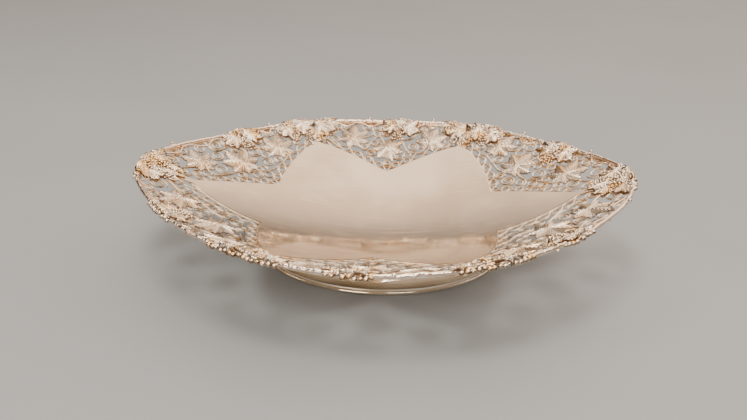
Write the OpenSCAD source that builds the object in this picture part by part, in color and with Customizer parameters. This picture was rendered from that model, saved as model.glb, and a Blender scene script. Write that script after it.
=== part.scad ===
// Oval footed dish with a pierced vine border and an applied grapevine rim.
// Millimetres, +Z up. The origin is the centre of the foot's resting face,
// +X runs along the dish's length and -Y is the near long side.
//
// Plan places are written as [t, s]: t is the angle of the outline's ellipse
// and s is the share of the way from the dish's centre to its rim.

/* [Dish] */
// Half of the length, from the centre to the middle of the rim wire
rim_rx = 171; // [140:1:200]
// Half of the width before the lobes are cut in
rim_ry = 127; // [105:1:150]
// Flattening of the outline on the diagonals, as a share of its radius
diagonal_flat = 0.045; // [0:0.005:0.08]
// Depth of the outline's six soft lobes, as a share of its radius
lobe_depth = 0.016; // [0:0.002:0.03]
// Height of the middle of the well's upper face
well_z = 20.7; // [18:0.1:30]
// Height of the sheet's edge at the middle of the long sides
side_z = 54; // [45:1:65]
// Height of the sheet's edge at the two ends
tip_z = 63.5; // [50:0.5:75]
// Power of the curve that climbs from the well to the rim
climb = 1.8; // [1.5:0.1:2.4]
// Power of the curve by which the rim rises from the sides to the ends
rim_rise = 0.6; // [0.4:0.1:1.2]
// Thickness of the sheet, measured upright
sheet = 1.2; // [1:0.1:2]

/* [Plain field] */
// Where the field's tapering ends stop, along the length
end_x = 136; // [120:1:145]
// The four side cusps, from the centre
side_cusp = [80.5, 31]; // [70:0.5:90]
// The two centre cusps, from the centre
centre_cusp_y = 68; // [60:1:76]
// The four peaks where the field runs out to the rim
peak = [60, 91.5]; // [55:0.5:65]
// Half angle of the plain necks between the panels, in degrees
neck_angle = 1.5; // [1:0.1:3]

/* [Vine panels] */
// Width of the solid edge around each pierced panel
edge_w = 2.2; // [1.5:0.1:4]
// Reach of a vine leaf from its middle
leaf_r = 13; // [9:0.5:15]
// Outer radius of a tendril ring
ring_r = 5.6; // [4:0.1:7]
// Width of the tendrils and stems
stem_w = 2; // [1.4:0.1:3]

/* [Rim] */
// Radius of the rim wire
wire_r = 1.75; // [1:0.05:3]
// Radius of one grape
grape_r = 2.9; // [2:0.1:3.5]
// Distance between neighbouring grapes
grape_pitch = 4.6; // [3.6:0.1:5]
// Height of the middle of a grape above the sheet
grape_lift = 2.6; // [1.5:0.1:4]

/* [Foot] */
// Half axes of the foot where it rests
foot_r = [87, 63]; // [70:1:100]
// Half axes of the foot's waist
waist_r = [77, 53]; // [60:1:90]
// Half axes of the foot where it meets the dish
crown_r = [80, 56]; // [60:1:95]
// Height of the waist
waist_z = 15; // [10:0.5:18]
// Width and height of the band under the foot
band = [3.2, 3]; // [2:0.1:5]
// Thickness of the foot's wall
foot_wall = 1.2; // [1:0.1:2]

/* [Hidden] */

silver = [0.86, 0.80, 0.72];
cast_silver = [0.80, 0.70, 0.58];

// The angle of the outline's ellipse at a plan point.
function angle_at(p) = atan2(p[1] / rim_ry, p[0] / rim_rx);
// The rim's radius at t, as a share of the ellipse's.
function rim_share(t) =
  1 - diagonal_flat * pow(sin(2 * t), 2) - lobe_depth * (1 - cos(6 * t)) / 2;
// The plan point at share s of the rim, at angle t.
function plan(t, s = 1) = s * rim_share(t) * [rim_rx * cos(t), rim_ry * sin(t)];
// The share of the rim's radius at a plan point.
function share_at(p) =
  norm([p[0] / rim_rx, p[1] / rim_ry]) / rim_share(angle_at(p));
// The height of the dish's upper face over a plan point.
function dish_z(p) =
  let (
    length_part = pow(p[0] / rim_rx, 2),
    reach = max(length_part + pow(p[1] / rim_ry, 2), 1e-9),
    top = side_z + (tip_z - side_z) * pow(length_part / reach, rim_rise)
  )
  well_z + (top - well_z) * pow(reach, climb / 2);

function mix(a, b, u) = a + (b - a) * u;
// One point of the arc-like curve from a to b that leans towards c.
function bend(a, c, b, u) = mix(mix(a, c, u), mix(c, b, u), u);
function upright(p, z) = [p[0], p[1], z];

// The six bays between the necks run from neck angle to neck angle.
peak_t = angle_at(peak);
bay_end_t = [0, peak_t, 180 - peak_t, 180, 180 + peak_t, 360 - peak_t, 360];

// Edge of the plain field in one quarter, from the end to the side's middle.
end_point = plan(neck_angle, share_at([end_x, 0]));
end_lean = [106, 24];
side_lean = [79, 66];
centre_lean = [34, 90];
peak_share = share_at(peak);
diagonal_edge = concat(
  [for (i = [0:5]) bend(end_point, end_lean, side_cusp, i / 6)],
  [for (i = [0:6]) bend(side_cusp, side_lean, plan(peak_t - neck_angle, peak_share), i / 6)]
);
centre_edge = [
  for (i = [0:6]) bend(plan(peak_t + neck_angle, peak_share), centre_lean, [0, centre_cusp_y], i / 6)
];
function flip_x(points) = [for (i = [len(points) - 1:-1:0]) [-points[i][0], points[i][1]]];
function flip_y(points) = [for (i = [len(points) - 1:-1:0]) [points[i][0], -points[i][1]]];

edge_back_right = diagonal_edge;
edge_back = concat(centre_edge, [for (i = [1:6]) flip_x(centre_edge)[i]]);
edge_back_left = flip_x(diagonal_edge);
edge_front_left = flip_y(edge_back_left);
edge_front = flip_y(edge_back);
edge_front_right = flip_y(edge_back_right);
field_edge = concat(
  edge_back_right, edge_back, edge_back_left,
  edge_front_left, edge_front, edge_front_right
);

// Two triangles for the four corners of a cell.
function cell(a, b, c, d) = [[a, b, c], [a, c, d]];
// The faces that join two neighbouring loops of count points.
function band_faces(count, first, second) = [
  for (i = [0:count - 1])
    each cell(first + i, second + i, second + (i + 1) % count, first + (i + 1) % count)
];

// A curved plate of the sheet's thickness over rows of plan points. The rows
// follow each other anticlockwise, and each row runs outwards.
module plate(rows) {
  row_count = len(rows);
  size = len(rows[0]);
  total = row_count * size;
  upper = [for (row = rows) for (p = row) upright(p, dish_z(p))];
  lower = [for (p = upper) p - [0, 0, sheet]];
  border = concat(
    [for (j = [0:size - 1]) j],
    [for (i = [1:row_count - 1]) i * size + size - 1],
    [for (j = [size - 2:-1:0]) (row_count - 1) * size + j],
    [for (i = [row_count - 2:-1:1]) i * size]
  );
  top_faces = [
    for (i = [0:row_count - 2]) for (j = [0:size - 2])
      each cell(i * size + j, (i + 1) * size + j, (i + 1) * size + j + 1, i * size + j + 1)
  ];
  bottom_faces = [for (f = top_faces) [f[2] + total, f[1] + total, f[0] + total]];
  side_faces = [
    for (i = [0:len(border) - 1])
      let (a = border[i], b = border[(i + 1) % len(border)])
        each cell(a, b, b + total, a + total)
  ];
  polyhedron(concat(upper, lower), concat(top_faces, bottom_faces, side_faces));
}

// Rows of plan points from an inner edge out to the rim.
function rows_to_rim(inner, steps) = [
  for (p = inner) [for (j = [0:steps]) mix(p, plan(angle_at(p)), j / steps)]
];

// The plain field: a fan at its centre and rings of cells out to its edge.
field_rings = [0.2, 0.4, 0.6, 0.8, 1];
module plain_field() {
  count = len(field_edge);
  ring_count = len(field_rings);
  total = count * ring_count + 1;
  upper = concat(
    [for (s = field_rings) for (p = field_edge) upright(s * p, dish_z(s * p))],
    [[0, 0, well_z]]
  );
  lower = [for (p = upper) p - [0, 0, sheet]];
  top_faces = concat(
    [for (i = [0:count - 1]) [total - 1, (i + 1) % count, i]],
    [for (j = [0:ring_count - 2]) each band_faces(count, (j + 1) * count, j * count)]
  );
  bottom_faces = [for (f = top_faces) [f[2] + total, f[1] + total, f[0] + total]];
  outer = count * (ring_count - 1);
  side_faces = band_faces(count, outer + total, outer);
  polyhedron(concat(upper, lower), concat(top_faces, bottom_faces, side_faces));
}

// The necks carry the field out to the rim between neighbouring panels.
neck_inner = [
  for (i = [0:5])
    let (share = i % 3 == 0 ? share_at(end_point) : peak_share)
      [for (turn = [-1, 1]) plan(bay_end_t[i] + turn * neck_angle, share)]
];
module dish_well() {
  color(silver) {
    plain_field();
    for (inner = neck_inner) plate(rows_to_rim(inner, 4));
  }
}

// One five-lobed vine leaf, pointing along +X.
leaf_lobes = [[0, 1], [25, 0.55], [58, 0.95], [88, 0.5], [125, 0.8], [158, 0.45]];
module leaf_shape(place, turn) {
  half = [for (lobe = leaf_lobes) leaf_r * lobe[1] * [cos(lobe[0]), sin(lobe[0])]];
  translate(place) rotate(turn)
    polygon(concat(half, [for (i = [len(half) - 1:-1:1]) [half[i][0], -half[i][1]]]));
}
module ring_shape(place) {
  translate(place) difference() {
    circle(ring_r, $fn = 12);
    circle(ring_r - stem_w, $fn = 12);
  }
}
module stem_shape(stops) {
  for (i = [0:len(stops) - 2]) {
    step = stops[i + 1] - stops[i];
    translate(stops[i]) rotate(atan2(step[1], step[0]))
      translate([-stem_w / 2, -stem_w / 2]) square([norm(step) + stem_w, stem_w]);
  }
}

// A pierced panel: a plate cut through to its edge, leaves, rings and stems.
module pierced_panel(rows, leaves, rings, stems) {
  last = len(rows[0]) - 1;
  outline = concat(
    [for (row = rows) row[0]],
    [for (i = [len(rows) - 1:-1:0]) rows[i][last]]
  );
  intersection() {
    plate(rows);
    linear_extrude(2 * tip_z) {
      difference() {
        offset(delta = edge_w) polygon(outline);
        offset(delta = -edge_w) polygon(outline);
      }
      for (leaf = leaves) leaf_shape([leaf[0], leaf[1]], leaf[2]);
      for (place = rings) ring_shape(place);
      for (stops = stems) stem_shape(stops);
    }
  }
}

// The panel at the middle of the back, from neck to neck.
centre_leaves = [[36, 107, 70], [-30, 106, 95], [0, 94, -80]];
centre_rings = [[52, 100], [-47, 99], [17, 104], [-14, 109], [1, 77], [23, 90], [-20, 90]];
centre_stems = [
  [[64, 97], [52, 100], [36, 107], [17, 104], [0, 94], [-14, 109], [-30, 106], [-47, 99], [-64, 97]],
  [[0, 66], [0, 94]],
  [[36, 107], [23, 90], [1, 79], [-20, 90], [-30, 106]],
];
module centre_panel() {
  pierced_panel(rows_to_rim(edge_back, 3), centre_leaves, centre_rings, centre_stems);
}

// The side panels at the back right and front left, from neck to neck.
side_leaves = [[91, 84, 40], [106, 58, 48], [136, 34, 50]];
side_rings = [[83, 62], [91, 42], [104, 34], [122, 32], [122, 68], [76, 93], [141, 17]];
side_stems = [
  [[64, 97], [76, 93], [91, 84], [83, 62], [91, 42], [106, 58], [122, 32], [136, 34], [154, 4]],
  [[78, 29], [91, 42], [104, 34], [122, 32], [141, 17], [150, 2]],
  [[106, 58], [122, 68], [128, 72]],
];
module side_panel() {
  pierced_panel(rows_to_rim(edge_back_right, 3), side_leaves, side_rings, side_stems);
}

// The side panels at the back left and front right, drawn for the back right.
other_leaves = [[88, 79, 95], [113, 47, 30], [142, 31, 45]];
other_rings = [[73, 88], [85, 55], [97, 35], [127, 23], [116, 68], [104, 82], [146, 12]];
other_stems = [
  [[64, 97], [73, 88], [88, 79], [85, 55], [97, 35], [113, 47], [127, 23], [142, 31], [154, 4]],
  [[78, 29], [97, 35], [127, 23], [146, 12], [150, 2]],
  [[88, 79], [104, 82], [116, 68], [113, 47]],
];
module other_side_panel() {
  pierced_panel(rows_to_rim(edge_back_right, 3), other_leaves, other_rings, other_stems);
}

// The back right quarter's places, carried to the other three.
module back_left() { mirror([1, 0, 0]) children(); }
module front_right() { mirror([0, 1, 0]) children(); }
module front_left() { rotate(180) children(); }

module vine_panel_back() { color(silver) centre_panel(); }
module vine_panel_front() { color(silver) front_left() centre_panel(); }
module vine_panel_back_right() { color(silver) side_panel(); }
module vine_panel_back_left() { color(silver) back_left() other_side_panel(); }
module vine_panel_front_right() { color(silver) front_right() other_side_panel(); }
module vine_panel_front_left() { color(silver) front_left() side_panel(); }

// Where each bunch sits in the back right quarter, how many grapes its outermost
// row has and how many rows it has. Each row inwards has one grape less. The
// front left quarter is the same, and the other two have their own side bunch.
end_bunch = [0, 9, 5];
side_bunch = [33, 6, 4];
other_side_bunch = [41, 6, 4];
corner_bunch = [peak_t, 10, 4];
middle_bunch = [87, 6, 4];
middle_bunch_mirrored = [180 - middle_bunch[0], middle_bunch[1], middle_bunch[2]];

// Millimetres along the rim for each degree of t.
function pace(t) = norm(plan(t + 0.5) - plan(t - 0.5));
function heading(t) =
  let (ahead = plan(t + 0.5) - plan(t - 0.5)) atan2(ahead[1], ahead[0]);
// A plan point u along the rim from t and v inwards from the wire.
function rim_place(t, u, v) =
  let (here = t + u / pace(t)) plan(here) + v * [-sin(heading(here)), cos(heading(here))];
// How far a bunch reaches along the rim to each side of its middle, in degrees.
function bunch_reach(bunch) = ((bunch[1] - 1) / 2 * grape_pitch + grape_r) / pace(bunch[0]);

// A bunch of grapes cast in one piece, hanging inwards from the rim.
row_pitch = grape_pitch * 0.87;
first_row = -0.3;
outer_rise = 1.2;
grape_turn = [24, 37, 11];
module grapes(bunch) {
  for (row = [0:bunch[2] - 1]) {
    count = bunch[1] - row;
    rise = row < 2 ? outer_rise : 0;
    for (i = [0:count - 1]) {
      place = rim_place(bunch[0], (i - (count - 1) / 2) * grape_pitch, (row + first_row) * row_pitch);
      translate(upright(place, dish_z(place) + grape_lift + rise))
        rotate(grape_turn) sphere(grape_r, $fn = 24);
    }
  }
}

// A length of rim wire on the sheet's edge, between two neighbouring bunches.
wire_step = 4;
wire_sides = 8;
module rim_wire(bunch_a, bunch_b) {
  from = bunch_a[0] + bunch_reach(bunch_a);
  to = bunch_b[0] - bunch_reach(bunch_b);
  steps = ceil((to - from) / wire_step);
  points = [
    for (i = [0:steps])
      let (t = mix(from, to, i / steps), edge = plan(t), side = heading(t))
        for (k = [0:wire_sides - 1])
          let (turn = 360 * (k + 0.5) / wire_sides, across = wire_r * cos(turn))
            upright(edge, dish_z(edge) + wire_r)
              + [across * sin(side), -across * cos(side), wire_r * sin(turn)]
  ];
  walls = [
    for (i = [0:steps - 1]) each band_faces(wire_sides, (i + 1) * wire_sides, i * wire_sides)
  ];
  start_cap = [for (k = [1:wire_sides - 2]) [0, k + 1, k]];
  end_first = steps * wire_sides;
  end_cap = [for (f = start_cap) [end_first + f[2], end_first + f[1], end_first + f[0]]];
  polyhedron(points, concat(walls, start_cap, end_cap));
}

module rim_wire_back_right_end() { color(cast_silver) rim_wire(end_bunch, side_bunch); }
module rim_wire_back_right_side() { color(cast_silver) rim_wire(side_bunch, corner_bunch); }
module rim_wire_back_right_middle() { color(cast_silver) rim_wire(corner_bunch, middle_bunch); }
module rim_wire_front_left_end() { front_left() rim_wire_back_right_end(); }
module rim_wire_front_left_side() { front_left() rim_wire_back_right_side(); }
module rim_wire_front_left_middle() { front_left() rim_wire_back_right_middle(); }

// The other two quarters' wires, drawn for the back right.
module other_end_wire() { color(cast_silver) rim_wire(end_bunch, other_side_bunch); }
module other_side_wire() { color(cast_silver) rim_wire(other_side_bunch, corner_bunch); }
module other_middle_wire() { color(cast_silver) rim_wire(corner_bunch, middle_bunch_mirrored); }
module rim_wire_back_left_end() { back_left() other_end_wire(); }
module rim_wire_back_left_side() { back_left() other_side_wire(); }
module rim_wire_back_left_middle() { back_left() other_middle_wire(); }
module rim_wire_front_right_end() { front_right() other_end_wire(); }
module rim_wire_front_right_side() { front_right() other_side_wire(); }
module rim_wire_front_right_middle() { front_right() other_middle_wire(); }

module grapes_right_end() { color(cast_silver) grapes(end_bunch); }
module grapes_left_end() { front_left() grapes_right_end(); }
module grapes_back_centre() { color(cast_silver) grapes(middle_bunch); }
module grapes_front_centre() { front_left() grapes_back_centre(); }
module grapes_back_right_corner() { color(cast_silver) grapes(corner_bunch); }
module grapes_back_left_corner() { back_left() grapes_back_right_corner(); }
module grapes_front_right_corner() { front_right() grapes_back_right_corner(); }
module grapes_front_left_corner() { front_left() grapes_back_right_corner(); }
module grapes_back_right_side() { color(cast_silver) grapes(side_bunch); }
module grapes_front_left_side() { front_left() grapes_back_right_side(); }
module grapes_back_left_side() { color(cast_silver) back_left() grapes(other_side_bunch); }
module grapes_front_right_side() { color(cast_silver) front_right() grapes(other_side_bunch); }

// The spreading foot, a closed loop of wall sections from the band to the dish.
foot_steps = 60;
function oval(radii, t) = [radii[0] * cos(t), radii[1] * sin(t)];
function foot_section(t) =
  let (
    crown_top = dish_z(oval(crown_r, t)) - sheet,
    wall = [foot_wall, foot_wall],
    low = foot_r - 0.5 * [band[0], band[0]],
    outer = [[low, band[1]], [waist_r + 2 * wall, waist_z / 2], [waist_r, waist_z], [crown_r, crown_top]],
    inner = [for (i = [3:-1:0]) [outer[i][0] - wall, outer[i][1]]]
  )
  [for (corner = concat(outer, inner)) upright(oval(corner[0], t), corner[1])];
module foot_ring() {
  sections = [for (i = [0:foot_steps - 1]) foot_section(360 * i / foot_steps)];
  corners = len(sections[0]);
  color(silver) polyhedron(
    [for (section = sections) each section],
    [for (i = [0:foot_steps - 1])
      each band_faces(corners, i * corners, ((i + 1) % foot_steps) * corners)]
  );
}

// The flat band that the foot stands on.
module foot_band() {
  turns = [for (i = [0:foot_steps - 1]) 360 * i / foot_steps];
  color(silver) linear_extrude(band[1]) difference() {
    polygon([for (t = turns) oval(foot_r, t)]);
    polygon([for (t = turns) oval(foot_r - [band[0], band[0]], t)]);
  }
}

dish_well();
vine_panel_back();
vine_panel_front();
vine_panel_back_left();
vine_panel_back_right();
vine_panel_front_left();
vine_panel_front_right();
rim_wire_back_right_end();
rim_wire_back_right_side();
rim_wire_back_right_middle();
rim_wire_back_left_end();
rim_wire_back_left_side();
rim_wire_back_left_middle();
rim_wire_front_right_end();
rim_wire_front_right_side();
rim_wire_front_right_middle();
rim_wire_front_left_end();
rim_wire_front_left_side();
rim_wire_front_left_middle();
grapes_left_end();
grapes_right_end();
grapes_back_centre();
grapes_front_centre();
grapes_back_left_corner();
grapes_back_right_corner();
grapes_front_left_corner();
grapes_front_right_corner();
grapes_back_left_side();
grapes_back_right_side();
grapes_front_left_side();
grapes_front_right_side();
foot_ring();
foot_band();
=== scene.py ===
import math

import bmesh
import bpy
import numpy as np
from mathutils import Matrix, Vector


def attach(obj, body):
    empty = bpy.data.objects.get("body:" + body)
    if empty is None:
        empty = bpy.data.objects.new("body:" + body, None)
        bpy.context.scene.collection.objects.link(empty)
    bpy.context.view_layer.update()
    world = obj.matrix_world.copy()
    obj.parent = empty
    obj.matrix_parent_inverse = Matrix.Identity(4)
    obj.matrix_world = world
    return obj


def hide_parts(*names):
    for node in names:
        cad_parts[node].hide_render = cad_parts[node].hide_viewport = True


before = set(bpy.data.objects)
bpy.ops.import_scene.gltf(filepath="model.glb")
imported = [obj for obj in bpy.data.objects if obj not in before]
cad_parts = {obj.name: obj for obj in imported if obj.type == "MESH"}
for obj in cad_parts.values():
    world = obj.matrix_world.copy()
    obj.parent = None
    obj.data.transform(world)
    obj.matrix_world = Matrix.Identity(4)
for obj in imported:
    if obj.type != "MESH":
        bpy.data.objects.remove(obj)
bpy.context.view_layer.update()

# ---------------------------------------------------------------------------
# The room: a camera a little right of the dish's middle and above its near
# side, a pale table, four soft lamps, and walls that are brightest overhead.
# ---------------------------------------------------------------------------
MM = 0.001
CAMERA_PLACE = (28.8 * MM, -441.6 * MM, 256.3 * MM)
CAMERA_AIM = (-0.0686, 0.8894, -0.452)
CAMERA_LENS = 33.1

camera_data = bpy.data.cameras.new("camera")
camera_data.sensor_width = 36
camera_data.lens = CAMERA_LENS
camera = bpy.data.objects.new("camera", camera_data)
bpy.context.scene.collection.objects.link(camera)
camera.location = CAMERA_PLACE
camera.rotation_euler = Vector(CAMERA_AIM).to_track_quat("-Z", "Y").to_euler()
bpy.context.scene.camera = camera


class Wire:
    """A socket of a node tree. Python's operators on it add Math nodes."""

    def __init__(self, tree, socket=None):
        self.tree = tree
        self.socket = socket

    def add(self, kind, settings=None, sockets=None, output=0):
        """Adds a node: its settings first, then its sockets' values or links."""
        node = self.tree.nodes.new(kind)
        for name, value in (settings or {}).items():
            setattr(node, name, value)
        for key, value in (sockets or {}).items():
            if isinstance(value, Wire):
                self.tree.links.new(value.socket, node.inputs[key])
            else:
                node.inputs[key].default_value = value
        return Wire(self.tree, node.outputs[output])

    def maths(self, operation, *values):
        """Adds a Math node on the values or sockets given."""
        return self.add("ShaderNodeMath", {"operation": operation}, dict(enumerate(values)))

    def __add__(self, other):
        return self.maths("ADD", self, other)

    def __radd__(self, other):
        return self.maths("ADD", other, self)

    def __sub__(self, other):
        return self.maths("SUBTRACT", self, other)

    def __rsub__(self, other):
        return self.maths("SUBTRACT", other, self)

    def __mul__(self, other):
        return self.maths("MULTIPLY", self, other)

    def __rmul__(self, other):
        return self.maths("MULTIPLY", other, self)

    def between(self, low, high):
        """0 at low, 1 at high, and smooth in between."""
        return self.add(
            "ShaderNodeMapRange",
            {"interpolation_type": "SMOOTHSTEP"},
            {"Value": self, "From Min": low, "From Max": high},
        )

    def blend(self, colour_a, colour_b):
        """The colour between two, by this socket's value."""
        return self.add(
            "ShaderNodeMix", {"data_type": "RGBA"}, {0: self, 6: colour_a, 7: colour_b}, output=2
        )


def start_material(name, **constants):
    """A metal or plain material: its tree, and its Principled shader with set sockets."""
    material = bpy.data.materials.new(name)
    material.use_nodes = True
    shader = material.node_tree.nodes["Principled BSDF"]
    for socket, value in constants.items():
        shader.inputs[socket.replace("_", " ")].default_value = value
    return material, Wire(material.node_tree), shader


def speckle(wire, scale, stretch=(1, 1, 1), detail=3):
    """Noise over the piece's own coordinates, stretched along each axis."""
    place = wire.add("ShaderNodeTexCoord", output=3)
    mapped = wire.add("ShaderNodeMapping", {}, {"Vector": place, "Scale": stretch})
    return wire.add("ShaderNodeTexNoise", {}, {"Vector": mapped, "Scale": scale, "Detail": detail})


table_material, table_wire, table_shader = start_material("pale_table", Roughness=0.55)
table_tone = speckle(table_wire, 6).blend((0.31, 0.34, 0.37, 1), (0.35, 0.38, 0.41, 1))
table_wire.tree.links.new(table_tone.socket, table_shader.inputs["Base Color"])
bpy.ops.mesh.primitive_plane_add(size=6)
table = bpy.context.object
table.name = "table"
table.data.materials.append(table_material)

BRIGHT_WAY = (0.36, 0.40, 0.84)
world = bpy.data.worlds.new("walls")
bpy.context.scene.world = world
world.use_nodes = True
walls = Wire(world.node_tree)
view_way = walls.add("ShaderNodeTexCoord")
towards_top = walls.add(
    "ShaderNodeVectorMath", {"operation": "DOT_PRODUCT"}, {0: view_way, 1: BRIGHT_WAY}, output=1
)
wall_tone = towards_top.between(0.40, 0.98).blend((0.12, 0.10, 0.09, 1), (2.35, 1.90, 1.52, 1))
walls.tree.links.new(wall_tone.socket, walls.tree.nodes["Background"].inputs["Color"])


def soft_light(name, place, aim, size, power, colour):
    """A square lamp that shines from its place towards the dish."""
    lamp = bpy.data.lights.new(name, "AREA")
    lamp.size = size
    lamp.energy = power
    lamp.color = colour
    holder = bpy.data.objects.new(name, lamp)
    bpy.context.scene.collection.objects.link(holder)
    holder.location = place
    holder.rotation_euler = (Vector(aim) - Vector(place)).to_track_quat("-Z", "Y").to_euler()


soft_light("overhead", (-0.1, -0.12, 1.35), (0, 0, 0.04), 0.38, 7, (1, 0.91, 0.80))
soft_light("left_window", (-1.2, -0.3, 0.9), (0, 0, 0.04), 0.4, 5, (1, 0.92, 0.82))
soft_light("near_lamp", (0.3, -1.1, 1.1), (0, 0, 0.03), 0.5, 11, (1, 0.89, 0.76))
soft_light("low_window", (-0.45, -1.4, 0.35), (0, 0, 0.03), 0.5, 6, (1, 0.92, 0.84))

# ---------------------------------------------------------------------------
# The dish: one raised sheet of silver with a six-pointed plain field, softly
# polished, its necks running out to the rim between the pierced panels.
# ---------------------------------------------------------------------------
RIM_RX = 171 * MM
RIM_RY = 127 * MM
DIAGONAL_FLAT = 0.045
LOBE_DEPTH = 0.016
WELL_Z = 20.7 * MM
SIDE_Z = 54 * MM
TIP_Z = 63.5 * MM
CLIMB = 1.8
RIM_RISE = 0.6
SHEET = 1.2 * MM


def rim_share(t):
    """How far the rim stands out at the angle t, as a share of a plain ellipse."""
    return 1 - DIAGONAL_FLAT * np.sin(2 * t) ** 2 - LOBE_DEPTH * (1 - np.cos(6 * t)) / 2


def rim_plan(t, share=1.0):
    """The plan place at a share of the way out to the rim, at the ellipse's angle t."""
    reach = share * rim_share(t)
    return np.stack([reach * RIM_RX * np.cos(t), reach * RIM_RY * np.sin(t)], axis=-1)


def rim_angle(plan):
    """The ellipse's angle of a plan place: the opposite of rim_plan."""
    return np.arctan2(plan[..., 1] / RIM_RY, plan[..., 0] / RIM_RX)


def share_out(plan):
    """How far out a plan place lies, as a share of the way to the rim."""
    reach = np.hypot(plan[..., 0] / RIM_RX, plan[..., 1] / RIM_RY)
    return reach / rim_share(rim_angle(plan))


def dish_height(plan):
    """The upper face's height: a curved well that climbs highest to the two long ends."""
    along = (plan[..., 0] / RIM_RX) ** 2
    reach = np.maximum(along + (plan[..., 1] / RIM_RY) ** 2, 1e-9)
    top = SIDE_Z + (TIP_Z - SIDE_Z) * (along / reach) ** RIM_RISE
    return WELL_Z + (top - WELL_Z) * reach ** (CLIMB / 2)


def on_dish(plan, above=0.0):
    """Points a distance above the dish's upper face, square to it."""
    plan = np.asarray(plan, float)
    nudge = 0.05 * MM
    slope_x = (dish_height(plan + [nudge, 0]) - dish_height(plan - [nudge, 0])) / (2 * nudge)
    slope_y = (dish_height(plan + [0, nudge]) - dish_height(plan - [0, nudge])) / (2 * nudge)
    normal = np.stack([-slope_x, -slope_y, np.ones_like(slope_x)], axis=-1)
    normal /= np.linalg.norm(normal, axis=-1, keepdims=True)
    face = np.concatenate([plan, dish_height(plan)[..., None]], axis=-1)
    return face + normal * np.asarray(above)[..., None]


def bend(start, lean, end, count):
    """Points of the curve from start to end that leans towards lean."""
    u = np.linspace(0, 1, count)[:, None]
    start, lean, end = (np.asarray(p, float) for p in (start, lean, end))
    return (1 - u) ** 2 * start + 2 * u * (1 - u) * lean + u ** 2 * end


EDGE_STEPS = 25
SIDE_CUSP = np.array([80.5, 31]) * MM
CENTRE_CUSP = np.array([0, 68]) * MM
PEAK = np.array([60, 91.5]) * MM
END = np.array([136, 0]) * MM
NECK_ANGLE = math.radians(1.5)
peak_t = float(rim_angle(PEAK))
peak_share = float(np.linalg.norm(PEAK) / np.linalg.norm(rim_plan(peak_t)))
end_share = END[0] / RIM_RX

END_LEAN, SIDE_LEAN, CENTRE_LEAN = np.array([[106, 24], [79, 66], [34, 90]]) * MM
diagonal_edge = np.concatenate([
    bend(rim_plan(NECK_ANGLE, end_share), END_LEAN, SIDE_CUSP, EDGE_STEPS)[:-1],
    bend(SIDE_CUSP, SIDE_LEAN, rim_plan(peak_t - NECK_ANGLE, peak_share), EDGE_STEPS),
])
half_centre_edge = bend(
    rim_plan(peak_t + NECK_ANGLE, peak_share), CENTRE_LEAN, CENTRE_CUSP, EDGE_STEPS
)


def flip_x(points):
    """A stretch of edge mirrored from right to left, and run the other way."""
    return points[::-1] * [-1, 1]


def flip_y(points):
    """A stretch of edge mirrored from back to front, and run the other way."""
    return points[::-1] * [1, -1]


centre_edge = np.concatenate([half_centre_edge[:-1], flip_x(half_centre_edge)])
field_edge = np.concatenate([
    diagonal_edge, centre_edge, flip_x(diagonal_edge),
    flip_y(flip_x(diagonal_edge)), flip_y(centre_edge), flip_y(diagonal_edge),
])


def grid_faces(rows, columns, first=0, closed=False):
    """The four-cornered faces of a grid of points, row after row."""
    faces = []
    for i in range(rows - (0 if closed else 1)):
        for j in range(columns - 1):
            a = first + i * columns + j
            b = first + (i + 1) % rows * columns + j
            faces.append((a, b, b + 1, a + 1))
    return faces


def stand_up(name, data):
    """A new object in the scene, for a mesh or a curve."""
    piece = bpy.data.objects.new(name, data)
    bpy.context.scene.collection.objects.link(piece)
    return piece


def new_piece(name, points, faces, merge=True, **attributes):
    """A mesh object: its doubled points merged, its faces turned outwards."""
    mesh = bpy.data.meshes.new(name)
    mesh.from_pydata([tuple(p) for p in points], [], faces)
    for label, values in attributes.items():
        mesh.attributes.new(label, "FLOAT", "POINT").data.foreach_set("value", values)
    work = bmesh.new()
    work.from_mesh(mesh)
    if merge:
        bmesh.ops.remove_doubles(work, verts=work.verts, dist=0.002 * MM)
    bmesh.ops.recalc_face_normals(work, faces=work.faces)
    work.to_mesh(mesh)
    work.free()
    return stand_up(name, mesh)


def settle(piece, sharp=None):
    """Turns a piece and its modifiers into one plain smooth mesh."""
    bpy.context.view_layer.update()
    result = bpy.data.meshes.new_from_object(
        piece.evaluated_get(bpy.context.evaluated_depsgraph_get())
    )
    piece.modifiers.clear()
    piece.data = result
    result.name = piece.name
    result.shade_smooth()
    if sharp is not None:
        result.set_sharp_from_angle(angle=math.radians(sharp))
    return piece


def place_piece(piece, slot, *nodes):
    """Puts a piece on the one rigid body, in place of its CAD nodes."""
    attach(piece, "root")
    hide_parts(*nodes)


FIELD_RINGS = 32
NECK_STEPS = 12
dish_points = [on_dish(np.zeros(2))]
count = len(field_edge)
for share in np.linspace(0, 1, FIELD_RINGS + 1)[1:]:
    dish_points.extend(on_dish(field_edge * share))
dish_faces = [(0, 1 + i, 1 + (i + 1) % count) for i in range(count)]
dish_faces += [
    (1 + r * count + i, 1 + (r + 1) * count + i,
     1 + (r + 1) * count + (i + 1) % count, 1 + r * count + (i + 1) % count)
    for r in range(FIELD_RINGS - 1) for i in range(count)
]
for middle, share in (
    (0, end_share), (peak_t, peak_share), (math.pi - peak_t, peak_share),
    (math.pi, end_share), (math.pi + peak_t, peak_share), (-peak_t, peak_share),
):
    first = len(dish_points)
    for t in (middle - NECK_ANGLE, middle + NECK_ANGLE):
        dish_points.extend(on_dish(rim_plan(t, s)) for s in np.linspace(share, 1, NECK_STEPS))
    dish_faces += grid_faces(2, NECK_STEPS, first)
dish = new_piece("dish", dish_points, dish_faces)
thickness = dish.modifiers.new("thickness", "SOLIDIFY")
thickness.thickness = SHEET
thickness.offset = -1
settle(dish, sharp=40)

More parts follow.
